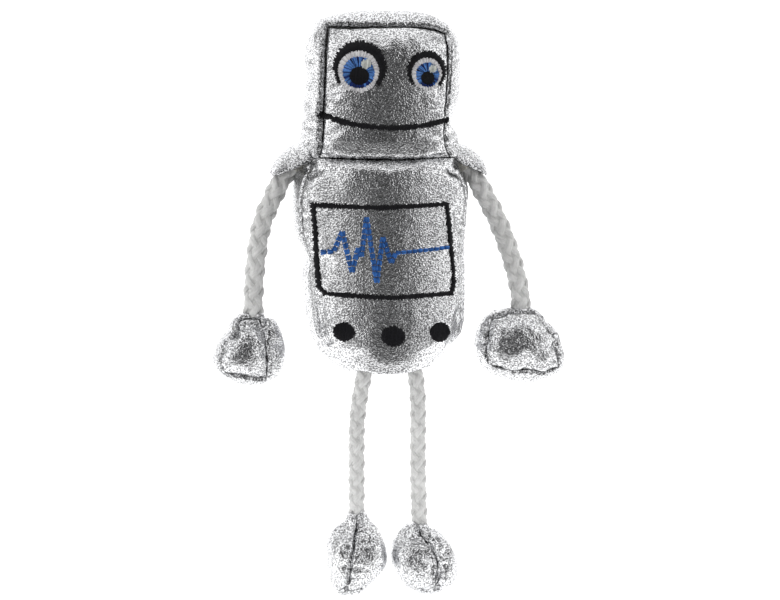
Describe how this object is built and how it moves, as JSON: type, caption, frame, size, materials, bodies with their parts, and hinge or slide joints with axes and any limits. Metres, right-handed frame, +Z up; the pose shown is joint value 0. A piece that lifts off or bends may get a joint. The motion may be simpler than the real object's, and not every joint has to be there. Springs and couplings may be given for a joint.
{
  "type": "toy robot finger puppet",
  "caption": "Soft silver robot finger puppet: padded head and trunk with an embroidered face and chest screen, rope arms and legs, stuffed hands and feet, and a finger sleeve.",
  "frame": {"origin": "centre of the mouth of the finger sleeve, level with the hem", "axes": "+Z up from hem to crown, -Y the way the face looks, +X the robot's own left"},
  "size_m": [0.1126, 0.0378, 0.1889],
  "materials": {
    "silver_cloth": "metallic woven, crinkled",
    "hem_cloth": "metallic woven, folded",
    "sleeve_cloth": "plain woven lining",
    "fibre_fill": "fibre fill",
    "cotton_rope": "braided cotton",
    "binding_thread": "wound thread",
    "black_thread": "satin stitch",
    "blue_thread": "satin stitch",
    "white_thread": "satin stitch"
  },
  "bodies": {
    "torso": {"face_panel": "silver_cloth", "head_gusset": "silver_cloth", "head_back": "silver_cloth", "chest_panel": "silver_cloth", "right_side_panel": "silver_cloth", "left_side_panel": "silver_cloth", "trunk_back": "silver_cloth", "right_shoulder_cap": "silver_cloth", "left_shoulder_cap": "silver_cloth", "hem_binding": "hem_cloth", "finger_sleeve": "sleeve_cloth", "head_stuffing": "fibre_fill", "trunk_stuffing": "fibre_fill", "right_eye_lid": "black_thread", "right_eye_white": "white_thread", "right_iris": "blue_thread", "right_pupil": "black_thread", "right_glint": "white_thread", "left_eye_lid": "black_thread", "left_eye_white": "white_thread", "left_iris": "blue_thread", "left_pupil": "black_thread", "left_glint": "white_thread", "mouth": "black_thread", "screen_frame": "black_thread", "pulse_line": "blue_thread", "chest_dots": "black_thread"},
    "right_arm_root": {"right_arm_binding": "binding_thread"},
    "right_arm": {"right_arm_rope": "cotton_rope"},
    "right_hand": {"right_hand_front": "silver_cloth", "right_hand_back": "silver_cloth", "right_hand_gusset": "silver_cloth", "right_hand_stuffing": "fibre_fill"},
    "right_leg_root": {"right_leg_binding": "binding_thread"},
    "right_leg": {"right_leg_rope": "cotton_rope"},
    "right_foot": {"right_foot_outer": "silver_cloth", "right_foot_inner": "silver_cloth", "right_foot_sole": "silver_cloth", "right_foot_stuffing": "fibre_fill"},
    "left_arm_root": {"left_arm_binding": "binding_thread"},
    "left_arm": {"left_arm_rope": "cotton_rope"},
    "left_hand": {"left_hand_front": "silver_cloth", "left_hand_back": "silver_cloth", "left_hand_gusset": "silver_cloth", "left_hand_stuffing": "fibre_fill"},
    "left_leg_root": {"left_leg_binding": "binding_thread"},
    "left_leg": {"left_leg_rope": "cotton_rope"},
    "left_foot": {"left_foot_outer": "silver_cloth", "left_foot_inner": "silver_cloth", "left_foot_sole": "silver_cloth", "left_foot_stuffing": "fibre_fill"}
  },
  "joints": [
    {"name": "right_arm_swing", "type": "hinge", "parent": "torso", "child": "right_arm_root", "pos_m": [-0.0278, -0.0045, 0.06696], "axis": [-1, 0, 0], "range_deg": [-60, 75], "deforming": ["right_arm_rope"]},
    {"name": "right_arm_raise", "type": "hinge", "parent": "right_arm_root", "child": "right_arm", "pos_m": [-0.035, -0.0045, 0.054], "axis": [0, 1, 0], "range_deg": [-4, 75], "deforming": ["right_arm_rope"]},
    {"name": "right_hand_flop", "type": "hinge", "parent": "right_arm", "child": "right_hand", "pos_m": [-0.0406, -0.0045, 0.0186], "axis": [-1, 0, 0], "range_deg": [-40, 40], "deforming": ["right_arm_rope"]},
    {"name": "left_arm_swing", "type": "hinge", "parent": "torso", "child": "left_arm_root", "pos_m": [0.0278, -0.0045, 0.06696], "axis": [-1, 0, 0], "range_deg": [-60, 75], "deforming": ["left_arm_rope"]},
    {"name": "left_arm_raise", "type": "hinge", "parent": "left_arm_root", "child": "left_arm", "pos_m": [0.0356, -0.0045, 0.054], "axis": [0, -1, 0], "range_deg": [-4, 75], "deforming": ["left_arm_rope"]},
    {"name": "left_hand_flop", "type": "hinge", "parent": "left_arm", "child": "left_hand", "pos_m": [0.0465, -0.0045, 0.0186], "axis": [-1, 0, 0], "range_deg": [-40, 40], "deforming": ["left_arm_rope"]},
    {"name": "right_leg_splay", "type": "hinge", "parent": "torso", "child": "right_leg_root", "pos_m": [-0.0059, -0.0165, 0.0045], "axis": [0, 1, 0], "range_deg": [0, 25], "deforming": ["right_leg_rope"]},
    {"name": "right_leg_swing", "type": "hinge", "parent": "right_leg_root", "child": "right_leg", "pos_m": [-0.0076, -0.0165, -0.006], "axis": [-1, 0, 0], "range_deg": [-50, 80], "deforming": ["right_leg_rope"]},
    {"name": "right_foot_flop", "type": "hinge", "parent": "right_leg", "child": "right_foot", "pos_m": [-0.0089, -0.0165, -0.0444], "axis": [-1, 0, 0], "range_deg": [-35, 35], "deforming": ["right_leg_rope"]},
    {"name": "left_leg_splay", "type": "hinge", "parent": "torso", "child": "left_leg_root", "pos_m": [0.0096, -0.0165, 0.0045], "axis": [0, -1, 0], "range_deg": [0, 25], "deforming": ["left_leg_rope"]},
    {"name": "left_leg_swing", "type": "hinge", "parent": "left_leg_root", "child": "left_leg", "pos_m": [0.0106, -0.0165, -0.006], "axis": [-1, 0, 0], "range_deg": [-50, 80], "deforming": ["left_leg_rope"]},
    {"name": "left_foot_flop", "type": "hinge", "parent": "left_leg", "child": "left_foot", "pos_m": [0.0114, -0.0165, -0.0483], "axis": [-1, 0, 0], "range_deg": [-35, 35], "deforming": ["left_leg_rope"]}
  ]
}
